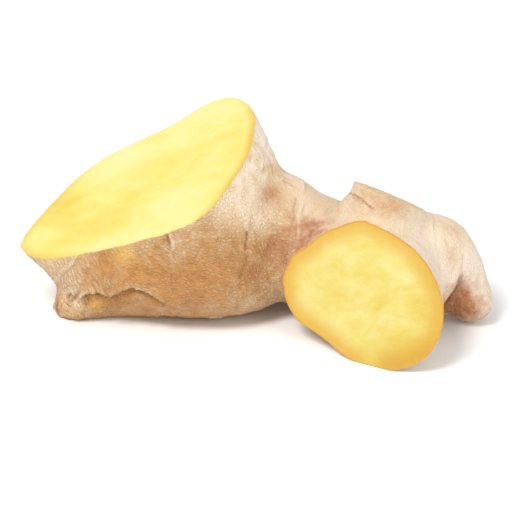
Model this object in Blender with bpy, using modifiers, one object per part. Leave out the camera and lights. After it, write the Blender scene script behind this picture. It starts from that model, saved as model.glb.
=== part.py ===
"""Ginger root: one cut rhizome lying on a table.

A fat left lobe rises to a long oblique cut, a waist joins it to a right lobe
whose front finger is cut off square, and a small side shoot ends the root on
the right. Metres, +Z up, X along the root, origin under its middle.
"""

import math

import bmesh
import bpy
from mathutils import Euler, Matrix, Vector

MM = 0.001
VOXEL = 2.7 * MM  # grid on which the lobes grow together
SMOOTH_STEPS = 4  # passes that round the creases between lobes
SKIN = 0.6  # how far the lobe stands outside its outlines (mm)
MIDDLE = (-0.66, 9.11)  # the root's middle seen from above (mm), moved to the origin

# Knife cuts: a point on the plane (mm) and the way the cut face looks
TOP_CUT = ((-66, 18, 20.6), (-0.45, -0.42, 1.0))
SIDE_CUT = ((29.0, -9.5, 16.7), (-0.45, -0.80, 0.40))
STEM_SCAR = ((36.3, 10.0, 39.1), (0.45, 0.33, 1.0))
# How far each cutter reaches across its plane: left, right, down, up, out (mm)
TOP_REACH = (110, 110, 110, 110, 90)
SIDE_REACH = (26.5, 45, 45, 40, 60)
SCAR_REACH = (18, 20, 17, 20, 20)


def top_cut_height(x, y):
    (px, py, pz), (nx, ny, nz) = TOP_CUT
    return pz - (nx * (x - px) + ny * (y - py)) / nz


# The left lobe, as outlines round it seen from above (mm), from the left tip
# along the front to the right and back round.
SOLE_Z, FOOT_Z, BELLY_Z, FLANK_SHARE = -0.7, 2.2, 10.0, 0.72
SOLE = ((-57.2, 12.8), (-52, 10.5), (-43, 12), (-33, 13), (-24, 13), (-16, 13), (-9, 14), (-4, 16.5),
        (-2, 20), (-4, 23.5), (-10, 26), (-18, 27), (-29, 26), (-39, 23.5), (-48, 20.5), (-53, 17.5))
FOOT = ((-59, 12.8), (-55.5, 9.3), (-46, 9), (-35, 8.5), (-24, 7.5), (-14, 7), (-5, 9), (1, 14),
        (3, 20), (1, 26), (-6, 31), (-16, 34), (-30, 33), (-43, 28), (-52, 22.5), (-56, 18))
BELLY = ((-58.4, 15), (-55.4, 8), (-48, 4), (-36, 1.5), (-24, -1), (-12, -1.5), (-1, 2), (8, 10),
         (12, 20), (9, 31), (-2, 37), (-16, 40), (-31, 38), (-45, 33), (-54, 27), (-58, 21))
FLANK = ((-63.3, 16.5), (-58.6, 9), (-50, 5), (-37, 2), (-24, -0.3), (-13, 0.5), (-3.5, 6), (3.5, 15),
         (5.4, 27), (0.4, 36.5), (-11, 41), (-25, 39.5), (-39, 38), (-50, 34), (-57.5, 28), (-61.5, 22))
RIM = ((-68.5, 17.5), (-61.5, 10), (-50, 6), (-36, 3), (-24, 0.7), (-14.5, 2.3), (-7, 10), (-2.5, 19.5),
       (-1.8, 30), (-5, 38.6), (-14.5, 42), (-25, 39.1), (-38.5, 38.4), (-50.5, 35.6), (-57.5, 29.9), (-63.5, 24.8))

# Each other swelling of the rhizome: centre, half sizes (mm), lean about X, Y, Z (degrees)
SWELLINGS = (
    # bud at the foot of the left end
    ((-50.8, 13, 6.5), (8, 8, 7.5), (0, 0, 0)),
    # waist
    ((5, 23, 23), (16.5, 13, 16.9), (0, 0, 0)),
    ((16, 20, 17), (17, 15, 17), (0, 0, 0)),
    # buds at the back
    ((-32, 36, 14), (13, 7, 9), (0, 0, 10)),
    ((27, 29, 13), (11, 8, 10), (0, 0, -20)),
    # right lobe
    ((35, 14, 17.5), (21, 20, 16.5), (0, 0, 0)),
    ((49.3, 13, 16.3), (14.1, 14.5, 14.7), (0, 0, 0)),
    # flare at the foot of the stump
    ((29.5, 11, 34.3), (5.8, 6.5, 5.2), (0, 0, 0)),
)
# Fingers: start, end (mm), half width and half height at start and end
FINGERS = (
    # cut finger
    ((32, 10, 17.5), (31.3, -24, 17), (20, 17.5), (19.6, 17.8)),
    ((20, 12, 15), (17, -8, 15.5), (11, 11), (11, 11)),
    # side shoot
    ((55, 13, 17), (60.8, 9, 6.6), (9, 10), (7, 6.8)),
    # stump of the stem
    ((36.3, 10, 22), (36.2, 10, 42), (12.5, 9), (9.7, 9)),
)


def closed_curve(points, count):
    """Points along a smooth closed curve through these points."""
    n = len(points)
    made = []
    for i in range(count):
        at = i * n / count
        k, t = int(at), at - int(at)
        p0, p1, p2, p3 = (Vector(points[(k + j) % n]) for j in (-1, 0, 1, 2))
        made.append(spline(p0, p1, p2, p3, t))
    return made


def spline(p0, p1, p2, p3, t):
    return 0.5 * ((2 * p1) + (p2 - p0) * t + (2 * p0 - 5 * p1 + 4 * p2 - p3) * t * t
                  + (3 * p1 - p0 - 3 * p2 + p3) * t ** 3)


def swollen(ring, by):
    """The outline moved outwards by this much in plan."""
    n = len(ring)
    out = []
    for i in range(n):
        along = ring[(i + 1) % n] - ring[i - 1]
        out.append(ring[i] + Vector((along.y, -along.x, 0)).normalized() * by)
    return out


def left_lobe(bm, around=56, up=5):
    """Loft through the outlines, from the sole to a little above the cut."""
    sole = [Vector((x, y, SOLE_Z)) for x, y in SOLE]
    foot = [Vector((x, y, FOOT_Z)) for x, y in FOOT]
    belly = [Vector((x, y, BELLY_Z)) for x, y in BELLY]
    flank = [Vector((x, y, FLANK_SHARE * top_cut_height(x, y))) for x, y in FLANK]
    rim = [Vector((x, y, top_cut_height(x, y))) for x, y in RIM]
    above = [r + (r - f).normalized() * 10 for r, f in zip(rim, flank)]
    keys = [swollen(closed_curve(ring, around), SKIN) for ring in (sole, foot, belly, flank, rim, above)]
    rings = []
    for k in range(len(keys) - 1):
        last = min(k + 2, len(keys) - 1)
        for j in range(up):
            rings.append([spline(*corners, j / up)
                          for corners in zip(keys[max(k - 1, 0)], keys[k], keys[k + 1], keys[last])])
    rings.append(keys[-1])
    made = [[bm.verts.new(p * MM) for p in ring] for ring in rings]
    for low, high in zip(made, made[1:]):
        for i in range(around):
            j = (i + 1) % around
            bm.faces.new((low[i], low[j], high[j], high[i]))
    bm.faces.new(reversed(made[0]))
    bm.faces.new(made[-1])


def add_ball(bm, centre, half_sizes, lean=(0, 0, 0)):
    turn = Euler([math.radians(a) for a in lean]).to_matrix().to_4x4()
    place = Matrix.Translation(Vector(centre) * MM) @ turn @ Matrix.Diagonal((*[h * MM for h in half_sizes], 1))
    bmesh.ops.create_uvsphere(bm, u_segments=32, v_segments=20, radius=1, matrix=place)


def add_finger(bm, start, end, size0, size1):
    a, b = Vector(start), Vector(end)
    beads = max(3, int((b - a).length / (0.1 * (size0[0] + size1[0]))))
    for i in range(beads + 1):
        t = i / beads
        w = size0[0] + (size1[0] - size0[0]) * t
        h = size0[1] + (size1[1] - size0[1]) * t
        add_ball(bm, a.lerp(b, t), (w, w, h))


def grown_body():
    """The lobes and fingers grown together into one closed skin, not yet cut."""
    bm = bmesh.new()
    left_lobe(bm)
    for centre, half_sizes, lean in SWELLINGS:
        add_ball(bm, centre, half_sizes, lean)
    for finger in FINGERS:
        add_finger(bm, *finger)
    bmesh.ops.translate(bm, verts=bm.verts[:], vec=(-MIDDLE[0] * MM, -MIDDLE[1] * MM, 0))
    mesh = bpy.data.meshes.new("ginger_root")
    bm.to_mesh(mesh)
    bm.free()
    body = bpy.data.objects.new("ginger_root", mesh)
    grow = body.modifiers.new("grow_together", "REMESH")
    grow.mode = "VOXEL"
    grow.voxel_size = VOXEL
    soften = body.modifiers.new("soften", "SMOOTH")
    soften.factor = 0.5
    soften.iterations = SMOOTH_STEPS
    return body


def cutter(name, plane, reach):
    """A block whose near side lies on the plane and which fills the side the cut face looks to."""
    point, normal = plane
    point = Vector(point) - Vector((*MIDDLE, 0))
    out = Vector(normal).normalized()
    right = Vector((-out.y, out.x, 0)).normalized() if abs(out.z) < 0.999 else Vector((1, 0, 0))
    up = out.cross(right)
    left_by, right_by, down_by, up_by, out_by = reach
    bm = bmesh.new()
    bmesh.ops.create_cube(bm, size=1)
    for vert in bm.verts:
        x, y, z = vert.co
        vert.co = (point + right * (right_by if x > 0 else -left_by)
                   + up * (up_by if y > 0 else -down_by) + out * (out_by if z > 0 else 0)) * MM
    mesh = bpy.data.meshes.new(name)
    bm.to_mesh(mesh)
    bm.free()
    made = bpy.data.objects.new(name, mesh)
    made.hide_render = True
    made.display_type = "WIRE"
    return made


def cut(body, tool):
    boolean = body.modifiers.new(tool.name, "BOOLEAN")
    boolean.operation = "DIFFERENCE"
    boolean.solver = "EXACT"
    boolean.object = tool


def main():
    for obj in list(bpy.data.objects):
        bpy.data.objects.remove(obj)
    parts = bpy.data.collections.new("ginger root")
    tools = bpy.data.collections.new("cutters")
    tools.hide_render = True
    bpy.context.scene.collection.children.link(parts)
    bpy.context.scene.collection.children.link(tools)
    body = grown_body()
    parts.objects.link(body)
    cuts = (
        cutter("top_cut", TOP_CUT, TOP_REACH),
        cutter("side_cut", SIDE_CUT, SIDE_REACH),
        cutter("stem_scar", STEM_SCAR, SCAR_REACH),
        cutter("table", ((0, 0, 0), (0, 0, -1)), (120, 120, 120, 120, 30)),
    )
    for tool in cuts:
        tools.objects.link(tool)
        cut(body, tool)
    skin = bpy.data.materials.new("ginger_skin")
    skin.use_nodes = True
    look = skin.node_tree.nodes["Principled BSDF"]
    look.inputs["Base Color"].default_value = (0.66, 0.47, 0.31, 1)
    look.inputs["Roughness"].default_value = 0.7
    body.data.materials.append(skin)


main()
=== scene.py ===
"""The look of a cut ginger root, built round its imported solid.

The skin is grown from the same swellings as the solid, subdivided, wrinkled
and scarred in its geometry, cut by the same planes, and given cut faces with
a fine grid of their own. Design coordinates are millimetres, with X along the
root, and are shifted by MIDDLE to reach the frame.
"""

import math

import bmesh
import bpy
import numpy as np
from mathutils import Euler, Matrix, Vector
from mathutils.bvhtree import BVHTree
from mathutils.geometry import delaunay_2d_cdt
from mathutils.kdtree import KDTree


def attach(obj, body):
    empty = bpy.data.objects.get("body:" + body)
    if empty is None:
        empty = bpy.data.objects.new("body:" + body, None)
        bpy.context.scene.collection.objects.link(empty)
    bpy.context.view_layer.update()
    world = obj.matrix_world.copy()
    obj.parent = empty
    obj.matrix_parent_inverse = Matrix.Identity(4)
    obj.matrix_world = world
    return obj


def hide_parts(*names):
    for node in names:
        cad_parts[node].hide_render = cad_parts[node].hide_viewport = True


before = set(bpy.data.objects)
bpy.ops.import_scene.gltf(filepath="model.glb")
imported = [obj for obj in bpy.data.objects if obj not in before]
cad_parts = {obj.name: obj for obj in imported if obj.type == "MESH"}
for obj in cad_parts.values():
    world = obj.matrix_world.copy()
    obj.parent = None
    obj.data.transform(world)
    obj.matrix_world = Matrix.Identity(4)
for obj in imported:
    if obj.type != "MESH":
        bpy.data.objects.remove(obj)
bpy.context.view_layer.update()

MM = 0.001
VOXEL = 2.2 * MM  # grid on which the lobes grow together
SMOOTH_STEPS = 6  # passes that round the creases between lobes
LEVELS = 2  # halvings of that grid, down to about 0.55 mm
GRID = 0.62  # spacing of the points inside a cut face (mm)
SKIN = 0.6
MIDDLE = (-0.66, 9.11)

TOP_CUT = ((-66, 18, 20.6), (-0.45, -0.42, 1.0))
SIDE_CUT = ((29.0, -9.5, 16.7), (-0.45, -0.80, 0.40))
STEM_SCAR = ((36.3, 10.0, 39.1), (0.45, 0.33, 1.0))
TABLE = ((0, 0, 0), (0, 0, -1))
TOP_REACH = (110, 110, 110, 110, 90)
SIDE_REACH = (26.5, 45, 45, 22, 60)
SCAR_REACH = (18, 20, 17, 20, 20)
TABLE_REACH = (120, 120, 120, 120, 30)


def top_cut_height(x, y):
    (px, py, pz), (nx, ny, nz) = TOP_CUT
    return pz - (nx * (x - px) + ny * (y - py)) / nz


SOLE_Z, FOOT_Z, BELLY_Z, FLANK_SHARE = -0.7, 2.2, 10.0, 0.72
SOLE = ((-57.2, 12.8), (-52, 10.5), (-43, 12), (-33, 13), (-24, 13), (-16, 13), (-9, 14), (-4, 16.5),
        (-2, 20), (-4, 23.5), (-10, 26), (-18, 27), (-29, 26), (-39, 23.5), (-48, 20.5), (-53, 17.5))
FOOT = ((-59, 12.8), (-55.5, 9.3), (-46, 9), (-35, 8.5), (-24, 7.5), (-14, 7), (-5, 9), (1, 14),
        (3, 20), (1, 26), (-6, 31), (-16, 34), (-30, 33), (-43, 28), (-52, 22.5), (-56, 18))
BELLY = ((-58.4, 15), (-55.4, 8), (-48, 4), (-36, 1.5), (-24, -1), (-12, -1.5), (-1, 2), (8, 10),
         (12, 20), (9, 31), (-2, 37), (-16, 40), (-31, 38), (-45, 33), (-54, 27), (-58, 21))
FLANK = ((-63.3, 16.5), (-58.6, 9), (-50, 5), (-37, 2), (-24, -0.3), (-13, 0.5), (-3.5, 6), (3.5, 15),
         (5.4, 27), (0.4, 36.5), (-11, 41), (-25, 39.5), (-39, 38), (-50, 34), (-57.5, 28), (-61.5, 22))
RIM = ((-68.5, 17.5), (-61.5, 10), (-50, 6), (-36, 3), (-24, 0.7), (-14.5, 2.3), (-7, 10), (-2.5, 19.5),
       (-1.8, 30), (-5, 38.6), (-14.5, 42), (-25, 39.1), (-38.5, 38.4), (-50.5, 35.6), (-57.5, 29.9), (-63.5, 24.8))
SWELLINGS = (
    ((-50.8, 13, 6.5), (8, 8, 7.5), (0, 0, 0)),
    ((5, 23, 23), (16.5, 13, 16.9), (0, 0, 0)),
    ((16, 20, 17), (17, 15, 17), (0, 0, 0)),
    ((-32, 36, 14), (13, 7, 9), (0, 0, 10)),
    ((27, 29, 13), (11, 8, 10), (0, 0, -20)),
    ((35, 14, 17.5), (21, 20, 16.5), (0, 0, 0)),
    ((49.3, 13, 16.3), (14.1, 14.5, 14.7), (0, 0, 0)),
    ((29.5, 11, 34.3), (5.8, 6.5, 5.2), (0, 0, 0)),
)
FINGERS = (
    ((32, 10, 17.5), (31.3, -24, 17), (20, 17.5), (19.6, 17.8)),
    ((20, 12, 15), (17, -8, 15.5), (11, 11), (11, 11)),
    ((55, 13, 17), (60.8, 9, 6.6), (9, 10), (7, 6.8)),
    ((36.3, 10, 22), (36.2, 10, 42), (12.5, 9), (9.7, 9)),
)

# ---------------------------------------------------------------- camera

ELEVATION = math.radians(25)
DISTANCE = 0.6
PIXEL = 0.28 * MM  # one pixel of the 515 px frame, at the camera's target
HALF = 257.5
TARGET = Vector((-MIDDLE[0] * MM, -MIDDLE[1] * MM, 24.2 * MM))
BACK = Vector((0, -math.cos(ELEVATION), math.sin(ELEVATION)))
UP = Vector((0, math.sin(ELEVATION), math.cos(ELEVATION)))


def make_camera():
    camera = bpy.data.cameras.new("camera")
    camera.sensor_width = 36
    camera.lens = 18 / (2 * HALF * PIXEL / 2 / DISTANCE)
    camera.clip_start, camera.clip_end = 0.05, 20
    obj = bpy.data.objects.new("camera", camera)
    obj.location = TARGET + BACK * DISTANCE
    obj.rotation_mode = "QUATERNION"
    obj.rotation_quaternion = (-BACK).to_track_quat("-Z", "Y")
    bpy.context.scene.collection.objects.link(obj)
    bpy.context.scene.camera = obj


make_camera()

# ---------------------------------------------------------------- the grown body


def spline(p0, p1, p2, p3, t):
    return 0.5 * ((2 * p1) + (p2 - p0) * t + (2 * p0 - 5 * p1 + 4 * p2 - p3) * t * t
                  + (3 * p1 - p0 - 3 * p2 + p3) * t ** 3)


def closed_curve(points, count):
    n = len(points)
    made = []
    for i in range(count):
        at = i * n / count
        k, t = int(at), at - int(at)
        p0, p1, p2, p3 = (Vector(points[(k + j) % n]) for j in (-1, 0, 1, 2))
        made.append(spline(p0, p1, p2, p3, t))
    return made


def swollen(ring, by):
    n = len(ring)
    out = []
    for i in range(n):
        along = ring[(i + 1) % n] - ring[i - 1]
        out.append(ring[i] + Vector((along.y, -along.x, 0)).normalized() * by)
    return out


def left_lobe(bm, around=56, up=5):
    sole = [Vector((x, y, SOLE_Z)) for x, y in SOLE]
    foot = [Vector((x, y, FOOT_Z)) for x, y in FOOT]
    belly = [Vector((x, y, BELLY_Z)) for x, y in BELLY]
    flank = [Vector((x, y, FLANK_SHARE * top_cut_height(x, y))) for x, y in FLANK]
    rim = [Vector((x, y, top_cut_height(x, y))) for x, y in RIM]
    above = [r + (r - f).normalized() * 10 for r, f in zip(rim, flank)]
    keys = [swollen(closed_curve(ring, around), SKIN) for ring in (sole, foot, belly, flank, rim, above)]
    rings = []
    for k in range(len(keys) - 1):
        last = min(k + 2, len(keys) - 1)
        for j in range(up):
            rings.append([spline(*corners, j / up)
                          for corners in zip(keys[max(k - 1, 0)], keys[k], keys[k + 1], keys[last])])
    rings.append(keys[-1])
    made = [[bm.verts.new(p * MM) for p in ring] for ring in rings]
    for low, high in zip(made, made[1:]):
        for i in range(around):
            j = (i + 1) % around
            bm.faces.new((low[i], low[j], high[j], high[i]))
    bm.faces.new(reversed(made[0]))
    bm.faces.new(made[-1])


def ball_mesh(segments=32, rings=20):
    """A closed unit sphere: points and faces."""
    points = [(0, 0, 1)]
    for j in range(1, rings):
        b = math.pi * j / rings
        points += [(math.sin(b) * math.cos(2 * math.pi * i / segments),
                    math.sin(b) * math.sin(2 * math.pi * i / segments), math.cos(b)) for i in range(segments)]
    points.append((0, 0, -1))
    last = len(points) - 1
    faces = []
    for i in range(segments):
        k = (i + 1) % segments
        faces.append((0, 1 + i, 1 + k))
        for j in range(rings - 2):
            a, b = 1 + j * segments, 1 + (j + 1) * segments
            faces.append((a + i, b + i, b + k, a + k))
        a = 1 + (rings - 2) * segments
        faces.append((a + i, last, a + k))
    return [Vector(p) for p in points], faces


BALL = ball_mesh()


def add_ball(bm, centre, half_sizes, lean=(0, 0, 0)):
    turn = Euler([math.radians(a) for a in lean]).to_matrix().to_4x4()
    place = Matrix.Translation(Vector(centre) * MM) @ turn @ Matrix.Diagonal((*[h * MM for h in half_sizes], 1))
    made = [bm.verts.new(place @ p) for p in BALL[0]]
    for face in BALL[1]:
        bm.faces.new([made[i] for i in face])


def add_finger(bm, start, end, size0, size1):
    a, b = Vector(start), Vector(end)
    beads = max(3, int((b - a).length / (0.1 * (size0[0] + size1[0]))))
    for i in range(beads + 1):
        t = i / beads
        w = size0[0] + (size1[0] - size0[0]) * t
        h = size0[1] + (size1[1] - size0[1]) * t
        add_ball(bm, a.lerp(b, t), (w, w, h))


def evaluated_mesh(obj):
    """The object's mesh with its modifiers applied; the object itself is removed."""
    bpy.context.scene.collection.objects.link(obj)
    bpy.context.view_layer.update()
    graph = bpy.context.evaluated_depsgraph_get()
    mesh = bpy.data.meshes.new_from_object(obj.evaluated_get(graph))
    old = obj.data
    bpy.data.objects.remove(obj)
    bpy.data.meshes.remove(old)
    return mesh


def grown_mesh():
    """The uncut body as a mesh of quads, in design coordinates scaled to metres."""
    bm = bmesh.new()
    left_lobe(bm)
    for centre, half_sizes, lean in SWELLINGS:
        add_ball(bm, centre, half_sizes, lean)
    for finger in FINGERS:
        add_finger(bm, *finger)
    mesh = bpy.data.meshes.new("grown")
    bm.to_mesh(mesh)
    bm.free()
    body = bpy.data.objects.new("grown", mesh)
    grow = body.modifiers.new("grow_together", "REMESH")
    grow.mode = "VOXEL"
    grow.voxel_size = VOXEL
    soften = body.modifiers.new("soften", "SMOOTH")
    soften.factor = 0.5
    soften.iterations = SMOOTH_STEPS
    finer = body.modifiers.new("finer", "SUBSURF")
    finer.levels = finer.render_levels = LEVELS
    return evaluated_mesh(body)


def points_of(mesh):
    co = np.empty(len(mesh.vertices) * 3, np.float32)
    mesh.vertices.foreach_get("co", co)
    return co.reshape(-1, 3).astype(np.float64)


def normals_of(mesh):
    no = np.empty(len(mesh.vertices) * 3, np.float32)
    mesh.vertex_normals.foreach_get("vector", no)
    return no.reshape(-1, 3).astype(np.float64)


# ---------------------------------------------------------------- noise

RNG = np.random.RandomState(11)
PERM = np.concatenate([RNG.permutation(256)] * 3)
GRADS = RNG.normal(size=(256, 3))
GRADS /= np.linalg.norm(GRADS, axis=1)[:, None]


def noise(p):
    """Gradient noise, about -1 to 1, at each row of p."""
    cell = np.floor(p).astype(np.int64)
    f = p - cell
    w = f * f * f * (f * (f * 6 - 15) + 10)
    out = 0
    for dx in (0, 1):
        wx = w[:, 0] if dx else 1 - w[:, 0]
        for dy in (0, 1):
            wy = w[:, 1] if dy else 1 - w[:, 1]
            for dz in (0, 1):
                wz = w[:, 2] if dz else 1 - w[:, 2]
                h = PERM[PERM[PERM[(cell[:, 0] + dx) & 255] + ((cell[:, 1] + dy) & 255)] + ((cell[:, 2] + dz) & 255)]
                g = GRADS[h]
                out = out + wx * wy * wz * (g[:, 0] * (f[:, 0] - dx) + g[:, 1] * (f[:, 1] - dy) + g[:, 2] * (f[:, 2] - dz))
    return out * 1.6


def fbm(p, octaves=3, gain=0.5):
    out, amp, total = 0, 1.0, 0.0
    for i in range(octaves):
        out = out + amp * noise(p * 2 ** i + 17.3 * i)
        total += amp
        amp *= gain
    return out / total


def smooth(a, b, x):
    t = np.clip((x - a) / (b - a), 0, 1)
    return t * t * (3 - 2 * t)


# ---------------------------------------------------------------- places on the solid

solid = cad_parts["ginger_root"]
solid_tree = BVHTree.FromPolygons([v.co.copy() for v in solid.data.vertices],
                                  [tuple(p.vertices) for p in solid.data.polygons])


def spot(px, py):
    """Where the view line through this point of the frame meets the solid, in design millimetres."""
    at = TARGET + Vector((1, 0, 0)) * (px - HALF) * PIXEL + UP * (HALF - py) * PIXEL
    start = TARGET + BACK * DISTANCE
    hit = solid_tree.ray_cast(start, (at - start).normalized())[0]
    if hit is None:
        hit = solid_tree.find_nearest(at)[0]
    return np.array(hit) / MM + (MIDDLE[0], MIDDLE[1], 0)


def line_on(corners, step=2.0):
    """A polyline on the solid through these points of the frame."""
    made = []
    for (x0, y0), (x1, y1) in zip(corners, corners[1:]):
        n = max(1, int(math.hypot(x1 - x0, y1 - y0) / step))
        made += [spot(x0 + (x1 - x0) * i / n, y0 + (y1 - y0) * i / n) for i in range(n)]
    made.append(spot(*corners[-1]))
    return np.array(made)


def near_line(p, normals, line, reach):
    """Distance to the polyline, place along it (0 to 1) and which side (positive towards its left)."""
    dist = np.full(len(p), 1e3)
    along = np.zeros(len(p))
    side = np.zeros(len(p))
    low, high = line.min(0) - reach, line.max(0) + reach
    close = np.nonzero(((p > low) & (p < high)).all(1))[0]
    q = p[close]
    d_best = np.full(len(q), 1e3)
    a_best, s_best = np.zeros(len(q)), np.zeros(len(q))
    n = len(line) - 1
    for i in range(n):
        a, b = line[i], line[i + 1]
        ab = b - a
        t = np.clip(((q - a) @ ab) / max(ab @ ab, 1e-9), 0, 1)
        off = q - (a + t[:, None] * ab)
        d = np.linalg.norm(off, axis=1)
        s = np.einsum("ij,ij->i", np.cross(normals[close], ab / max(np.linalg.norm(ab), 1e-9)), off)
        better = d < d_best
        d_best[better], a_best[better], s_best[better] = d[better], ((i + t) / n)[better], s[better]
    dist[close], along[close], side[close] = d_best, a_best, s_best
    return dist, along, side


# ---------------------------------------------------------------- features of the skin

# Leaf-scar rings: point, normal of the plane they lie in, strength
RINGS = (
    ((-42.0, 15, 10), (1.0, 0.10, -0.35), 0.25),
    ((-24.6, 15, 10), (1.0, 0.05, 0.02), 0.6),
    ((-4.2, 15, 15), (1.0, -0.10, -0.16), 0.55),
    ((11.5, 15, 20), (1.0, 0.05, -0.12), 0.75),
    ((45.5, 10, 20), (1.0, 0.25, -0.30), 0.4),
)
# Lines on the skin, by the corners they pass in the frame
RIDGE = ((78, 253), (70, 265), (61, 273), (55, 282))
LIP = ((79, 301), (82, 297), (87, 294.5), (94, 293.5), (101, 293.5), (108, 295.5), (113, 296), (120, 292.5),
       (128, 289), (135, 288.5), (143, 290.5), (152, 295), (160, 300), (168, 305))
STUB_RING = ((343, 200), (350, 196), (356, 196.5), (362, 199), (370, 205), (377, 213))
CREASE = ((463.5, 248), (463.5, 262), (462, 275), (457, 288), (450, 297), (445, 304))
# kind, corners, half width (mm), strength
MARKS = (
    ("dark", ((166.5, 233), (168, 239), (170, 246), (170, 250)), 0.38, 0.90),
    ("pale", ((169.5, 234), (172.5, 242), (172, 251)), 0.42, 0.9),
    ("pale", ((171, 252), (171, 262), (172, 275)), 0.38, 0.5),
    ("dark", ((169, 258), (170.5, 270), (171, 287)), 0.32, 0.50),
    ("dark", ((247, 230), (246.5, 240), (245, 251)), 0.40, 0.95),
    ("pale", ((244, 252), (249, 251), (252, 254)), 0.45, 0.6),
    ("dark", ((249, 253), (246, 262), (242, 272), (236, 283)), 0.30, 0.55),
    ("pale", ((239, 203), (243, 215), (247, 232)), 0.35, 0.3),
    ("pale", ((304, 199), (299, 214), (298, 240), (295, 250)), 0.30, 0.50),
    ("dark", ((296, 196), (295, 204), (293, 210), (294, 218), (292, 228)), 0.30, 0.45),
    ("dark", ((306, 200), (302, 214), (301, 240)), 0.40, 0.25),
    ("dark", ((281, 180), (290, 185), (300, 191)), 0.28, 0.40),
    ("dark", ((275, 175), (283, 176), (289, 182)), 0.25, 0.20),
    ("dark", ((238, 168), (243, 170), (247, 172)), 0.25, 0.20),
    ("dark", ((345, 193), (352, 193.8), (358, 196.5), (364, 201), (370, 206.5), (376, 211.5)), 0.28, 0.72),
    ("pale", ((347, 191), (354, 192), (361, 195.5), (367, 200), (373, 205.5)), 0.28, 0.50),
    ("dark", ((340, 197), (339, 204), (338, 212)), 0.22, 0.25),
    ("dark", ((330, 205), (333, 213), (334, 221)), 0.22, 0.20),
    ("dark", ((374, 207), (381, 212), (385, 219)), 0.22, 0.20),
    ("dark", ((443, 236), (448, 247), (450, 258)), 0.25, 0.25),
    ("dark", ((456, 262), (452, 273), (448, 283)), 0.25, 0.25),
    # dark line at the top of the crease over the side shoot: painted shade
    ("dark", ((463, 254), (464, 263), (464, 271)), 0.30, 0.45),
    # a pale line along the fold at the left end: painted highlight on its crest
    ("pale", ((55, 281), (62, 272), (71, 264), (80, 252)), 0.45, 0.4),
    ("dark", ((57, 290), (56.5, 298), (57, 307), (60, 316)), 0.65, 0.75),
    # the dark marks from (90, 297.5), (98, 296.5) and (125, 306) are painted shade in the cavity and gaps under the
    # scale leaf
    ("dark", ((90, 297.5), (87.5, 301), (85.5, 306)), 0.90, 1.0),
    ("dark", ((98, 296.5), (106, 297.5), (114, 299), (121, 297)), 0.60, 0.60),
    ("dark", ((98, 297), (99, 302), (97, 307)), 0.35, 0.35),
    ("dark", ((125, 306), (135, 303), (146, 306)), 0.55, 0.60),
    ("pale", ((131, 291), (143, 294), (155, 300), (164, 306)), 0.35, 0.35),
)
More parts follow.
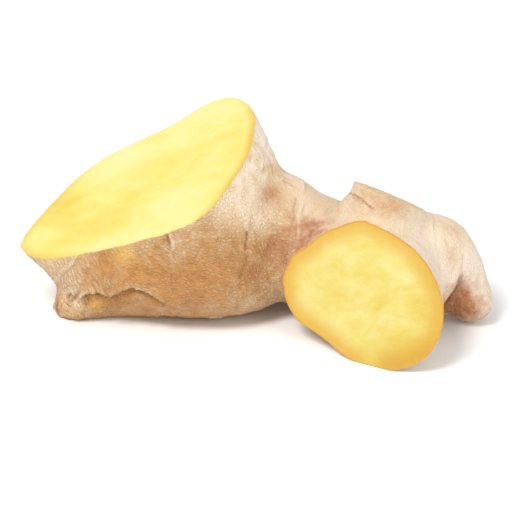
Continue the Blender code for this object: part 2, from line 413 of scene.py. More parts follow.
# Patches of colour: kind, place in the frame, radius (mm), strength
PATCHES = (
    # pale flank beside the cut, and painted highlight on the lit corner below it
    ("pale", (263, 136), 9.5, 0.64), ("pale", (240, 188), 6.0, 0.18), ("pale", (224, 206), 5.5, 0.30),
    ("pale", (242, 168), 5.0, 0.30), ("pale", (256, 214), 6.0, 0.30), ("pale", (262, 180), 5.0, 0.12),
    ("pale", (46, 264), 4.0, 0.10), ("tan", (62, 278), 5.0, 0.08), ("pale", (76, 288), 5.0, 0.06),
    ("pale", (270, 228), 5.0, 0.10), ("pale", (195, 238), 8.0, 0.06),
    # pale right lobe and side shoot
    ("pale", (430, 232), 11, 0.14), ("pale", (440, 276), 9.0, 0.20), ("pale", (476, 262), 8.0, 0.14),
    # the pale at the knob's tip (484, 311) is painted light, brightening its shaded underside
    ("pale", (481, 288), 5.0, 0.20), ("pale", (484, 311), 3.5, 0.42),
    # the pale at (71, 300) is painted light, brightening the shade under the foot's overhang
    ("pale", (71, 300), 4.0, 0.42), ("pale", (142, 298), 3.5, 0.34),
    # the darker front of the left lobe
    ("tan", (128, 278), 13, 0.20), ("tan", (158, 282), 12, 0.20), ("tan", (200, 282), 14, 0.28),
    # the tan at (274, 246), (300, 238) and (330, 208), at the waist, is painted shade where the tall lobe shades it
    ("tan", (240, 262), 10, 0.20), ("tan", (274, 246), 7, 0.18), ("tan", (300, 238), 6, 0.12),
    ("tan", (360, 204), 6.0, 0.18), ("tan", (400, 222), 7.0, 0.07), ("tan", (430, 226), 6.0, 0.06), ("tan", (330, 208), 7.0, 0.10),
    ("tan", (380, 202), 5.0, 0.06), ("tan", (397, 206), 4.0, 0.10), ("tan", (452, 232), 5.0, 0.14),
    ("tan", (450, 256), 4.0, 0.12), ("tan", (254, 280), 8.0, 0.14), ("tan", (212, 236), 7.0, 0.12),
    ("tan", (100, 302), 5.0, 0.34), ("tan", (132, 303), 6.0, 0.16), ("red", (102, 300), 4.5, 0.38),
    ("orange", (108, 261), 6.0, 0.80), ("orange", (90, 266), 4.5, 0.45), ("orange", (132, 276), 7.0, 0.65),
    ("orange", (158, 274), 8.0, 0.50), ("orange", (200, 283), 9.0, 0.55), ("orange", (178, 292), 6.0, 0.45),
    ("orange", (100, 284), 5.0, 0.30), ("orange", (104, 302), 5.5, 0.95), ("orange", (130, 302), 6.0, 0.50),
    ("orange", (484, 314), 2.5, 0.6), ("orange", (378, 198), 3.6, 0.38), ("orange", (396, 205), 3.6, 0.48), ("orange", (366, 193), 2.6, 0.25),
    ("orange", (272, 195), 3.2, 0.45), ("orange", (474, 311), 3.5, 0.35),
    ("orange", (455, 304), 6.0, 0.80), ("orange", (466, 308), 4.5, 0.45),
    ("orange", (452, 231), 3.5, 0.20), ("orange", (453, 257), 3.0, 0.28), ("orange", (238, 252), 6.0, 0.25),
    # reddish or rough places; the red at the waist, from (280, 250) to (313, 230), and in the crease over the side
    # shoot, near (455, 305), is painted shade
    ("red", (271, 194), 3.0, 0.42), ("red", (263, 203), 3.0, 0.25), ("red", (280, 250), 5.0, 0.62),
    ("red", (313, 230), 6.0, 0.72), ("red", (306, 242), 5.5, 0.66), ("red", (252, 270), 5.0, 0.35),
    ("red", (292, 240), 4.0, 0.40), ("red", (455, 305), 6.5, 1.0), ("red", (468, 304), 5.0, 0.50),
    ("red", (192, 290), 6.0, 0.3), ("red", (60, 288), 3.0, 0.20),
    ("gold", (125, 252), 3.2, 0.60), ("gold", (94, 305), 3.0, 0.6), ("gold", (62, 305), 2.6, 0.30),
    ("gold", (68, 311), 3.0, 0.4),
)
# Deeper (+) and paler (-) places of the long cut: place in the frame, radius (mm), strength
FLESH_PATCHES = (
    ((60, 211), 6.0, 0.50), ((94, 223), 8.0, 0.40), ((124, 214), 8.0, 0.20), ((78, 196), 5.0, 0.20),
    ((168, 162), 8.0, 0.26), ((218, 128), 7.0, 0.16), ((205, 178), 7.0, 0.08), ((140, 190), 7.0, 0.14),
    ((44, 232), 4.0, -0.25), ((110, 240), 9.0, -0.20), ((176, 206), 8.0, -0.25), ((130, 160), 7.0, -0.30),
    ((188, 128), 7.0, -0.35), ((236, 112), 5.0, -0.15), ((90, 178), 4.0, -0.15),
)
# Scars of roots, mostly underneath: design coordinates and radius (mm)
ROOT_SCARS = (
    ((-40, 30, 6), 1.5), ((-22, 39, 10), 1.3), ((-6, 36, 10), 1.6), ((9, 36, 13), 1.2), ((24, 37, 14), 1.4),
    ((-30, 5, 2), 1.3), ((-12, 5, 2), 1.5), ((40, 32, 10), 1.3), ((-52, 27, 12), 1.2), ((18, 30, 3), 1.4),
    ((55, 20, 4), 1.2), ((-20, 20, 0), 1.4), ((46, 2, 2), 1.3),
)


def smooth_lobes(p):
    """(left lobe, fan of fibres at its end, side shoot), each 0 to 1."""
    left = 1 - smooth(8, 18, p[:, 0] + 0.15 * (p[:, 2] - 18))
    shoot = smooth(52, 57, p[:, 0] - 0.3 * (p[:, 2] - 12)) * (1 - smooth(16, 21, p[:, 2]))
    fan = smooth(-36, -43, p[:, 0] + 2 * noise(p / 6.0 + 4)) * (1 - smooth(22, 30, p[:, 1]))
    return left, fan, shoot


def frames_along(direction):
    a = np.array(direction, float)
    a /= np.linalg.norm(a)
    b = np.cross(a, (0.1, 0.97, 0.2))
    b /= np.linalg.norm(b)
    return a, b, np.cross(a, b)


GRAINS = tuple(frames_along(d) for d in ((1.0, -0.12, -0.42), (0.45, -0.25, -1.0), (0.35, -1.0, -0.25)))


def grain_of(p):
    """Coordinates in millimetres that run along the fibres: of the left lobe, of its end, of the right lobe."""
    warp = np.stack([noise(p / 10.0 + 3), noise(p / 10.0 + 31), noise(p / 10.0 + 57)], 1) * 1.2
    q = p + warp
    return [np.stack([q @ a, q @ b, q @ c], 1) for a, b, c in GRAINS]


def weights_of(left, fan):
    return left * (1 - fan), left * fan, 1 - left


def wrinkles(grains, weights, length, width, seed=0.0):
    """Noise stretched along the fibres of each lobe."""
    out = 0
    for k, (grain, weight) in enumerate(zip(grains, weights)):
        out = out + weight * noise(grain / (length, width, width) + seed + 40 * k)
    return out


def ring_field(p):
    """Signed distance from the nearest leaf-scar ring and its strength there."""
    best = np.full(len(p), 99.0)
    strength = np.zeros(len(p))
    for k, (point, normal, power) in enumerate(RINGS):
        n = np.array(normal, float)
        n /= np.linalg.norm(n)
        s = (p - np.array(point)) @ n + 0.9 * noise(p / 7.0 + 5.1 * k) + 0.25 * noise(p / 2.2 + 9.7 * k)
        broken = smooth(-0.35, 0.25, noise(p / 6.0 + 77 + 13 * k))
        closer = np.abs(s) < np.abs(best)
        best[closer] = s[closer]
        strength[closer] = (power * broken)[closer]
    return best, strength


PLACED = {corners: line_on(corners) for corners in
          (RIDGE, LIP, STUB_RING, CREASE, *(mark[1] for mark in MARKS))}
SPOTS = [spot(*place) for _, place, _, _ in PATCHES]
SCARS = [np.array(solid_tree.find_nearest((Vector(c) - Vector((*MIDDLE, 0))) * MM)[0]) / MM + (*MIDDLE, 0)
         for c, _ in ROOT_SCARS]
BROKEN = spot(66, 303)


# Where the skin stands a little further out: place in the frame, radius (mm), height (mm)
FULLER = (((343.5, 203), 4.0, 0.85), ((252, 117), 5.0, 0.7), ((266, 150), 9.0, 0.45),
          ((487, 309), 4.5, 0.8), ((481, 268), 5.0, 0.5))
SMOOTHER = spot(252, 190)  # where the skin is less leathery
FULLER_AT = [spot(*place) for place, _, _ in FULLER]


class Fields:
    """What the relief and the colours both need, at points p with normals n."""

    def __init__(self, p, n):
        self.p = p
        self.left, self.fan, self.shoot = smooth_lobes(p)
        self.grains = grain_of(p)
        self.weights = weights_of(self.left, self.fan)
        self.ring, self.ring_strength = ring_field(p)
        self.ridge = near_line(p, n, PLACED[RIDGE], 7)
        self.lip = near_line(p, n, PLACED[LIP], 11)
        self.stub = near_line(p, n, PLACED[STUB_RING], 5)
        self.crease = near_line(p, n, PLACED[CREASE], 10)
        self.broken = np.exp(-(np.linalg.norm(p - BROKEN, axis=1) / 5.2) ** 2)
        self.marks = [near_line(p, n, PLACED[mark[1]], 4) for mark in MARKS]
        self.scar = np.full(len(p), 9.0)
        for place, (_, radius) in zip(SCARS, ROOT_SCARS):
            d = np.linalg.norm(p - place, axis=1) / radius
            self.scar = np.minimum(self.scar, d + 0.25 * noise(p / 0.9))


def relief(f):
    """How far each point of the skin moves along its normal (mm)."""
    p = f.p
    lumps = 0.42 * fbm(p / 15.0, 2) + 0.16 * noise(p / 5.0 + 8)
    rough = 0.45 + 0.55 * smooth(-0.35, 0.35, noise(p / 12.0 + 21))
    coarse = (0.15 * wrinkles(f.grains, f.weights, 4.6, 2.6) + 0.19 * wrinkles(f.grains, f.weights, 2.4, 1.5, 9)
              + 0.08 * wrinkles(f.grains, f.weights, 1.5, 1.0, 23))
    out = lumps + coarse * rough * (0.30 + 0.80 * f.left + 0.3 * f.fan)

    s, strength = f.ring, f.ring_strength
    out += strength * (0.22 * np.exp(-(s / 0.45) ** 2) - 0.20 * np.exp(-((s - 0.85) / 0.5) ** 2)
                       + 0.16 * np.sign(-s) * np.exp(-np.abs(s) / 3))

    # fold at the left end, raised towards the cut
    d, t, side = f.ridge
    fade = np.sin(np.pi * np.clip(t, 0.04, 0.96)) ** 0.6
    out += fade * (0.5 * np.exp(-(d / 0.7) ** 2) - 0.35 * np.exp(-((side - 1.3) / 0.9) ** 2) * np.exp(-(d / 3) ** 2))

    # scale leaf: its torn edge stands over a lower layer
    d, t, side = f.lip
    ends = smooth(0, 0.05, t) * smooth(0, 0.10, 1 - t)
    over = smooth(-0.30, 0.15, side + 0.25 * noise(p / 1.2))
    step = (1.5 - 0.7 * smooth(0.35, 0.55, t)) * np.exp(-(d / 6.0) ** 2) + 0.5 * np.exp(-(d / 1.3) ** 2)
    out += ends * (over * 0.75 * np.exp(-(d / 1.6) ** 2) - (1 - over) * step)

    d, t, side = f.stub
    out += 0.26 * np.exp(-(d / 0.5) ** 2) - 0.20 * np.exp(-((side + 0.9) / 0.5) ** 2) * np.exp(-(d / 2) ** 2)

    # the side shoot goes in under the lobe
    d, t, side = f.crease
    depth = smooth(0.25, 0.75, t) * smooth(-7.0, -3.0, p[:, 1])
    out -= depth * 1.9 * np.exp(-((side - 0.5) / 0.9) ** 2) * np.exp(-(d / 3) ** 2)
    out += depth * (0.9 * np.exp(-((side + 1.8) / 1.8) ** 2) - 1.2 * np.exp(-((side - 2.6) / 2.4) ** 2)) * np.exp(-(d / 5) ** 2)
    out -= 0.25 * smooth(0, 0.2, t) * np.exp(-(d / 0.5) ** 2) * smooth(-7.0, -3.0, p[:, 1])

    for (kind, corners, width, strength), (d, t, side) in zip(MARKS, f.marks):
        fade = smooth(0, 0.15, t) * smooth(0, 0.15, 1 - t)
        out += (0.16 if kind == "pale" else -0.22) * strength * fade * np.exp(-(d / (width + 0.12)) ** 2)

    for place, (_, radius, height) in zip(FULLER_AT, FULLER):
        out += height * np.exp(-(np.linalg.norm(p - place, axis=1) / radius) ** 2)
    # broken-off shoot at the left foot
    foot = smooth(-49, -54, p[:, 0]) * (0.5 * np.exp(-((p[:, 2] - 0.8) / 2.0) ** 2) - 0.9 * np.exp(-((p[:, 2] - 8.5) / 3.2) ** 2))
    out += foot
    out += f.broken * (0.75 * (1 - np.abs(noise(p / 2.3 + 4)) * 2.2) - 0.5 + 0.35 * noise(p / 1.2))
    # wrinkled side shoot
    tip = smooth(5, 0, np.abs(p[:, 2] - 3.5)) * smooth(56, 62, p[:, 0])
    out += (0.16 * f.shoot + 0.2 * tip) * wrinkles(f.grains, (0 * f.left, 0 * f.left + 1, 0 * f.left), 3.6, 1.3, 60)
    # root scars: a low collar round a pit
    s = f.scar
    out += 0.45 * np.exp(-((s - 1.0) / 0.35) ** 2) - 0.35 * np.exp(-(s / 0.55) ** 2)
    return out


def painted(f):
    """Masks for the skin's material, by name."""
    p = f.p
    cloud = fbm(p / 11.0 + 5, 3)
    under = smooth(10, 0, p[:, 2])
    behind = smooth(22, 34, p[:, 1] - 0.5 * np.clip(p[:, 2] - 20, 0, 40))
    browner = (1 - behind) * f.left + behind * (1 - smooth(-14, 34, p[:, 0] + 9 * noise(p / 9.0 + 33)))
    tone = 0.29 + 0.05 * behind + (0.27 - 0.15 * behind) * browner + 0.06 * cloud + 0.04 * fbm(p / 4.0 + 50, 2)
    tone += 0.16 * under + behind * (0.15 * noise(p / 9.0 + 71) + 0.14 * fbm(p / 4.0 + 19, 3))
    warm = 0.12 * smooth(0.05, 0.6, noise(p / 8.0 + 90)) * (0.4 + 0.6 * f.left) + 0.25 * under * f.left
    red = smooth(0.05, 0.9, noise(p / 6.0 + 130) + 0.35 * noise(p / 1.8 + 21)) * (0.34 * behind + 0.05 * f.left)
    gold = np.zeros(len(p))
    dark = np.zeros(len(p))
    edge = 1 + 0.40 * noise(p / 3.0 + 8) + 0.12 * noise(p / 1.2 + 80)
    mottle = 1 + 0.38 * noise(p / 1.1 + 64) + 0.25 * noise(p / 2.4 + 12)
    for place, (kind, _, radius, strength) in zip(SPOTS, PATCHES):
        d = np.linalg.norm(p - place, axis=1) / (radius * edge)
        m = strength * np.exp(-d ** 2) * (1 if kind == "pale" else mottle)
        if kind == "pale":
            tone -= m
        elif kind == "tan":
            tone += m
        elif kind == "orange":
            warm = np.maximum(warm, m) + 0.3 * np.minimum(warm, m)
        elif kind == "red":
            red = np.maximum(red, m) + 0.3 * np.minimum(red, m)
        else:
            gold = np.maximum(gold, m)
    for (kind, corners, width, strength), (d, t, side) in zip(MARKS, f.marks):
        fade = smooth(0, 0.12, t) * smooth(0, 0.12, 1 - t)
        m = strength * fade * np.exp(-(d / (width + 0.15 * noise(p / 1.0))) ** 2)
        if kind == "pale":
            tone -= 0.55 * m
            warm = warm * (1 - 0.6 * m)
            red = red * (1 - 0.6 * m)
        else:
            dark = np.maximum(dark, 0.55 * m)
            red = np.maximum(red, 0.95 * m)
    s = f.ring
    # beside each ring, red-brown over its groove: the ring's colour and painted shade in the groove; the ring's own
    # line paler
    red = np.maximum(red, (0.30 + 0.35 * behind) * f.ring_strength * np.exp(-((s - 0.8) / 0.6) ** 2))
    tone -= (0.20 + 0.20 * behind) * f.ring_strength * np.exp(-(s / 0.4) ** 2)
    # painted highlight: a pale line along the crest of the fold at the left end
    d, t, side = f.ridge
    tone -= 0.25 * np.exp(-(d / 0.6) ** 2)
    # the scale leaf's torn edge: painted shade in the gap under it, its orange-brown lower layer, and a paler lip above
    d, t, side = f.lip
    ends = smooth(0, 0.05, t) * smooth(0, 0.10, 1 - t)
    below = smooth(0.1, -0.3, side)
    gap = (1.0 - 0.55 * smooth(0.35, 0.6, t)) * smooth(-0.5, 0.1, noise(p / 2.2 + 44) + 0.35)
    dark = np.maximum(dark, gap * ends * below * np.exp(-((d - 0.6 - 0.4 * noise(p / 1.5)) / 0.9) ** 2))
    warm = np.maximum(warm, ends * below * np.exp(-(d / 5.0) ** 2))
    above = ends * smooth(-0.2, 0.2, side)
    tone -= 0.42 * above * np.exp(-(d / 0.9) ** 2)
    warm = warm * (1 - 0.8 * above * np.exp(-(d / 1.6) ** 2))
    # painted shade in the crease where the side shoot goes in under the lobe: red-brown beside it and dark along it
    d, t, side = f.crease
    depth = smooth(0.35, 0.75, t) * smooth(-7.0, -3.0, p[:, 1])
    red = np.maximum(red, depth * np.exp(-((side - 1.6) / 2.0) ** 2) * np.exp(-(d / 5) ** 2))
    dark = np.maximum(dark, depth * np.exp(-(d / 4) ** 2) * (0.62 * np.exp(-((side - 0.4) / 0.5) ** 2)
                                                             + 0.12 * np.exp(-((side - 1.2) / 1.0) ** 2)))
    rough = smooth(0.2, 0.7, f.broken)
    tone = tone * (1 - 0.5 * rough) + 0.5 * rough * (0.35 + 0.5 * noise(p / 1.5 + 6))
    dark = np.maximum(dark, rough * 0.65 * smooth(0.25, 0.6, noise(p / 1.4 + 30)))
    gold = np.maximum(gold, 0.4 * rough * smooth(0.0, 0.5, noise(p / 2.0 + 60)))
    pit = smooth(1.0, 0.4, f.scar)
    dark = np.maximum(dark, 0.6 * pit)
    tone -= 0.2 * np.exp(-((f.scar - 1.1) / 0.3) ** 2)
    limit = lambda m: np.clip(m, 0, 1)
    return {"tone": limit(tone), "warm": limit(warm), "red": limit(red), "gold": limit(gold), "dark": limit(dark),
            "leathery": limit(0.44 + 0.44 * f.left + 0.15 * f.fan + 0.15 * f.shoot
                              - 0.5 * np.exp(-(np.linalg.norm(p - SPOTS[0], axis=1) / 11) ** 2)
                              - 0.38 * np.exp(-(np.linalg.norm(p - SMOOTHER, axis=1) / 15) ** 2)),
            "w_left": f.weights[0], "w_fan": f.weights[1], "w_right": f.weights[2]}


# ---------------------------------------------------------------- cutting


def cutter(name, plane, reach, slot):
    point, normal = plane
    point = Vector(point) - Vector((*MIDDLE, 0))
    out = Vector(normal).normalized()
    right = Vector((-out.y, out.x, 0)).normalized() if abs(out.z) < 0.999 else Vector((1, 0, 0))
    up = out.cross(right)
    left_by, right_by, down_by, up_by, out_by = reach
    bm = bmesh.new()
    bmesh.ops.create_cube(bm, size=1)
    for vert in bm.verts:
        x, y, z = vert.co
        vert.co = (point + right * (right_by if x > 0 else -left_by)
                   + up * (up_by if y > 0 else -down_by) + out * (out_by if z > 0 else 0)) * MM
    mesh = bpy.data.meshes.new(name)
    bm.to_mesh(mesh)
    bm.free()
    for material in slots:
        mesh.materials.append(material)
    for polygon in mesh.polygons:
        polygon.material_index = slot
    made = bpy.data.objects.new(name, mesh)
    bpy.context.scene.collection.objects.link(made)
    return made


slots = [bpy.data.materials.new(name) for name in ("ginger_skin", "ginger_flesh", "ginger_scar")]
for material in slots:
    material.use_nodes = True
SKIN_SLOT, FLESH_SLOT, SCAR_SLOT = 0, 1, 2
CUTS = (
    ("top_cut", TOP_CUT, TOP_REACH, FLESH_SLOT),
    ("side_cut", SIDE_CUT, SIDE_REACH, FLESH_SLOT),
    ("stem_scar", STEM_SCAR, SCAR_REACH, SCAR_SLOT),
    ("table", TABLE, TABLE_REACH, SKIN_SLOT),
)


def cut_mesh(mesh):
    for material in slots:
        mesh.materials.append(material)
    body = bpy.data.objects.new("cutting", mesh)
    tools = [cutter(*row) for row in CUTS]
    for tool in tools:
        boolean = body.modifiers.new(tool.name, "BOOLEAN")
        boolean.operation = "DIFFERENCE"
        boolean.solver = "EXACT"
        boolean.object = tool
        boolean.material_mode = "INDEX"
    made = evaluated_mesh(body)
    for tool in tools:
        bpy.data.objects.remove(tool)
    return made


def fill_face(bm, face, spacing, lift):
    """Replaces a flat cut face by a fine grid that keeps its outline; lift is not used."""
    normal = face.normal.copy()
    axis_x = normal.orthogonal().normalized()
    axis_y = normal.cross(axis_x)
    verts = [loop.vert for loop in face.loops]
    origin = verts[0].co.copy()
    flat = np.array([((v.co - origin).dot(axis_x), (v.co - origin).dot(axis_y)) for v in verts])
    low, high = flat.min(0), flat.max(0)
    step = spacing * MM
    rows = []
    j = 0
    y = low[1]
    while y < high[1]:
        x = low[0] + (step / 2 if j % 2 else 0)
        while x < high[0]:
            rows.append((x, y))
            x += step
        y += step * 0.866
        j += 1
    grid = np.array(rows)
    nxt = np.roll(flat, -1, 0)
    inside = np.zeros(len(grid), bool)
    clear = np.full(len(grid), 1e9)
    for (ax, ay), (bx, by) in zip(flat, nxt):
        crosses = (ay > grid[:, 1]) != (by > grid[:, 1])
        if by != ay:
            at = ax + (grid[:, 1] - ay) / (by - ay) * (bx - ax)
            inside ^= crosses & (grid[:, 0] < at)
        ab = np.array((bx - ax, by - ay))
        t = np.clip(((grid - (ax, ay)) @ ab) / max(ab @ ab, 1e-18), 0, 1)
        clear = np.minimum(clear, np.linalg.norm(grid - ((ax, ay) + t[:, None] * ab), axis=1))
    grid, clear = grid[inside & (clear > 0.45 * step)], clear[inside & (clear > 0.45 * step)]
    n = len(verts)
    coords = [Vector(c) for c in flat] + [Vector(c) for c in grid]
    edges = [(i, (i + 1) % n) for i in range(n)]
    out = delaunay_2d_cdt(coords, edges, [tuple(range(n))], 1, 1e-9)
    made_co, made_faces, origins = out[0], out[2], out[3]
    index = face.material_index
    fresh = []
    for i, c in enumerate(made_co):
        first = min(origins[i]) if origins[i] else -1
        if 0 <= first < n:
            fresh.append(verts[first])
        else:
            fresh.append(bm.verts.new(origin + axis_x * c[0] + axis_y * c[1]))
    bmesh.ops.delete(bm, geom=[face], context="FACES_ONLY")
    for tri in made_faces:
        if len({fresh[k] for k in tri}) < 3:
            continue
        f = bm.faces.new([fresh[k] for k in tri])
        f.material_index = index
        f.normal_update()
        if f.normal.dot(normal) < 0:
            f.normal_flip()
    return normal


mesh = grown_mesh()
mesh_points = points_of(mesh) / MM
mesh_normals = normals_of(mesh)
moved = mesh_points + mesh_normals * relief(Fields(mesh_points, mesh_normals))[:, None]
mesh.vertices.foreach_set("co", ((moved - (*MIDDLE, 0)) * MM).astype(np.float32).ravel())
mesh.update()
cut = cut_mesh(mesh)

bm = bmesh.new()
bm.from_mesh(cut)
big = sorted((f for f in bm.faces if len(f.verts) > 40), key=lambda f: -f.calc_area())
for face in big:
    fill_face(bm, face, GRID, None)
bm.normal_update()
bm.to_mesh(cut)
bm.free()
def distances(points, targets):
    tree = KDTree(len(targets))
    for i, t in enumerate(targets):
        tree.insert(t, i)
    tree.balance()
    return np.array([tree.find(p)[2] for p in points])


def add_float(mesh, name, values):
    layer = mesh.attributes.new(name, "FLOAT", "POINT")
    layer.data.foreach_set("value", np.asarray(values, np.float32))


def add_vector(mesh, name, values):
    layer = mesh.attributes.new(name, "FLOAT_VECTOR", "POINT")
    layer.data.foreach_set("vector", np.asarray(values, np.float32).ravel())


def by_material(mesh):
    """For each slot, the vertices its faces use."""
    used = [set() for _ in slots]
    for polygon in mesh.polygons:
        used[polygon.material_index].update(polygon.vertices)
    return [np.array(sorted(u), int) for u in used]


def plane_height(p, plane):
    n = np.array(plane[1], float)
    return (p - np.array(plane[0], float)) @ (n / np.linalg.norm(n))


co = points_of(cut) / MM + (*MIDDLE, 0)
in_skin, in_flesh, in_scar = by_material(cut)
on_rim = np.intersect1d(in_skin, np.union1d(in_flesh, in_scar))
rim = np.full(len(co), 50.0)
inner = np.setdiff1d(np.union1d(in_flesh, in_scar), on_rim)
rim[on_rim] = 0
rim[inner] = distances(co[inner], co[on_rim])
near_cut = in_skin[np.isin(in_skin, on_rim, invert=True)]
top_rim = on_rim[np.abs(plane_height(co[on_rim], TOP_CUT)) < 0.05]
other_rim = np.setdiff1d(on_rim, top_rim)
skin_edge = np.zeros(len(co))
scar_rim = np.intersect1d(in_scar, in_skin)
other_rim = np.setdiff1d(other_rim, scar_rim)
for chosen, strength in ((top_rim, 0.22), (other_rim, 0.55), (scar_rim, 0.08)):
    skin_edge[near_cut] = np.maximum(skin_edge[near_cut],
                                     strength * np.exp(-(distances(co[near_cut], co[chosen]) / 0.55) ** 2))
    skin_edge[chosen] = strength

# the flesh bulges a little and sinks at its rim, and the knife left faint waves
flat = np.zeros(len(co))
top = np.abs(plane_height(co, TOP_CUT)) < 0.02
wave = 0.10 * fbm(co / 9.0 + 3, 2) + 0.035 * noise(co / 2.4 + 8)
flesh_lift = smooth(0, 2.5, rim) * wave - 0.10 * np.exp(-((rim - 0.9) / 0.7) ** 2) * (rim > 0)
bm = bmesh.new()
bm.from_mesh(cut)
bm.verts.ensure_lookup_table()
for plane, chosen, scale in ((TOP_CUT, in_flesh, 1.0), (SIDE_CUT, in_flesh, 0.8), (STEM_SCAR, in_scar, 2.5)):
    normal = Vector(plane[1]).normalized()
    height = np.abs(plane_height(co, plane))
    for i in chosen:
        if height[i] < 0.02 and rim[i] > 0:
            bm.verts[i].co += normal * float(flesh_lift[i] * scale) * MM
near_scar = np.intersect1d(np.nonzero(np.linalg.norm(co - np.array(STEM_SCAR[0]), axis=1) < 22)[0], in_skin)
worn = {int(i) for i, d in zip(near_scar, distances(co[near_scar], co[scar_rim])) if d < 1.3}
worn = sorted(worn | {int(i) for i in in_scar if rim[i] < 1.0})
for _ in range(6):
    bmesh.ops.smooth_vert(bm, verts=[bm.verts[i] for i in worn], factor=0.5,
                          use_axis_x=True, use_axis_y=True, use_axis_z=True)
for edge in bm.edges:
    faces = edge.link_faces
    kinds = {face.material_index for face in faces}
    edge.smooth = kinds != {SKIN_SLOT, FLESH_SLOT} and kinds != {SCAR_SLOT, FLESH_SLOT}
for face in bm.faces:
    face.smooth = True
bm.to_mesh(cut)
bm.free()

fields = Fields(co, normals_of(cut))
for name, values in painted(fields).items():
    add_float(cut, name, values)
for name, grain in zip(("grain_left", "grain_fan", "grain_right"), fields.grains):
    add_vector(cut, name, grain)
add_float(cut, "rim", rim)
add_float(cut, "skin_edge", skin_edge)
yolk = 0.22 * fbm(co / (11.0, 6.0, 6.0) + 40, 3)
for (place, radius, strength) in FLESH_PATCHES:
    d = np.linalg.norm((co - spot(*place)) / (1.35, 1.0, 1.0), axis=1) / (radius * (1 + 0.3 * noise(co / 4.0 + 9)))
    yolk += strength * np.exp(-d ** 2)
add_float(cut, "yolk", np.clip(0.5 + yolk * 0.6, 0, 1))
# how far each point of the cut faces is towards the sides that are a deeper yellow
top_depth = smooth(-46, -58, co[:, 0]) * 0.6 + smooth(-14, -2, co[:, 0] + 0.35 * (20 - co[:, 1]))
side_depth = smooth(14, 3, co[:, 2]) * smooth(26, 40, co[:, 0]) + smooth(0, 14, co[:, 0] - 38) * 0.35
add_float(cut, "deep", np.clip(np.where(plane_height(co, TOP_CUT) > -0.5, top_depth, side_depth), 0, 1))
add_float(cut, "face_kind", (plane_height(co, TOP_CUT) > -0.5).astype(float))

root = bpy.data.objects.new("ginger_root_skin", cut)
bpy.context.scene.collection.objects.link(root)
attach(root, "root")
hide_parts("ginger_root")

# ---------------------------------------------------------------- materials


class Tree:
    """Short names for building a node tree."""

    def __init__(self, material):
        self.tree = material.node_tree
        self.shader = self.tree.nodes["Principled BSDF"]

    def node(self, kind, **settings):
        made = self.tree.nodes.new(kind)
        for key, value in settings.items():
            setattr(made, key, value)
        return made

    def feed(self, socket, value):
        if hasattr(value, "is_output"):
            self.tree.links.new(value, socket)
        else:
            socket.default_value = value

    def attribute(self, name, vector=False):
        return self.node("ShaderNodeAttribute", attribute_name=name).outputs["Vector" if vector else "Fac"]

    def math(self, operation, a, b=0.5, c=0.5, clamp=False):
        made = self.node("ShaderNodeMath", operation=operation, use_clamp=clamp)
        for socket, value in zip(made.inputs, (a, b, c)):
            self.feed(socket, value)
        return made.outputs[0]

    def scaled(self, vector, factors):
        made = self.node("ShaderNodeVectorMath", operation="MULTIPLY")
        self.feed(made.inputs[0], vector)
        made.inputs[1].default_value = factors
        return made.outputs[0]

    def noise(self, vector, scale=1.0, detail=2.0, roughness=0.5, distortion=0.0):
        made = self.node("ShaderNodeTexNoise")
        self.feed(made.inputs["Vector"], vector)
        for name, value in (("Scale", scale), ("Detail", detail), ("Roughness", roughness), ("Distortion", distortion)):
            made.inputs[name].default_value = value
        return made.outputs["Fac"]

    def stirred(self, vector, amount):
        """The same coordinates, shifted by a little noise."""
        made = self.node("ShaderNodeTexNoise")
        self.feed(made.inputs["Vector"], vector)
        made.inputs["Scale"].default_value = 0.9
        made.inputs["Detail"].default_value = 1.0
        centred = self.node("ShaderNodeVectorMath", operation="SUBTRACT")
        self.feed(centred.inputs[0], made.outputs["Color"])
        centred.inputs[1].default_value = (0.5, 0.5, 0.5)
        moved = self.node("ShaderNodeVectorMath", operation="MULTIPLY_ADD")
        self.feed(moved.inputs[0], centred.outputs[0])
        moved.inputs[1].default_value = (amount, amount, amount)
        self.feed(moved.inputs[2], vector)
        return moved.outputs[0]

    def cells(self, vector):
        """Distance to the nearest border between irregular cells."""
        made = self.node("ShaderNodeTexVoronoi", feature="DISTANCE_TO_EDGE")
        self.feed(made.inputs["Vector"], vector)
        made.inputs["Scale"].default_value = 1.0
        return made.outputs["Distance"]

    def remap(self, value, low, high, to_low=0.0, to_high=1.0):
        made = self.node("ShaderNodeMapRange", interpolation_type="SMOOTHSTEP")
        for socket, v in zip(made.inputs, (value, low, high, to_low, to_high)):
            self.feed(socket, v)
        return made.outputs[0]

    def mix(self, factor, a, b, blend="MIX"):
        made = self.node("ShaderNodeMix", data_type="RGBA", blend_type=blend)
        self.feed(made.inputs[0], factor)
        for socket, value in ((made.inputs[6], a), (made.inputs[7], b)):
            self.feed(socket, value if hasattr(value, "is_output") else (*value, 1))
        return made.outputs[2]

    def ramp(self, value, stops):
        made = self.node("ShaderNodeValToRGB")
        self.feed(made.inputs[0], value)
        marks = made.color_ramp.elements
        while len(marks) < len(stops):
            marks.new(0.5)
        for mark, (at, colour) in zip(marks, stops):
            mark.position = at
            mark.color = (*colour, 1)
        return made.outputs[0]

    def bump(self, height, distance, strength=1.0, normal=None):
        made = self.node("ShaderNodeBump")
        made.inputs["Strength"].default_value = strength
        made.inputs["Distance"].default_value = distance
        self.feed(made.inputs["Height"], height)
        if normal is not None:
            self.feed(made.inputs["Normal"], normal)
        return made.outputs[0]

    def weighted(self, values, names):
        total = None
        for value, name in zip(values, names):
            term = self.math("MULTIPLY", value, self.attribute(name))
            total = term if total is None else self.math("ADD", total, term)
        return total


WEIGHTS = ("w_left", "w_fan", "w_right")


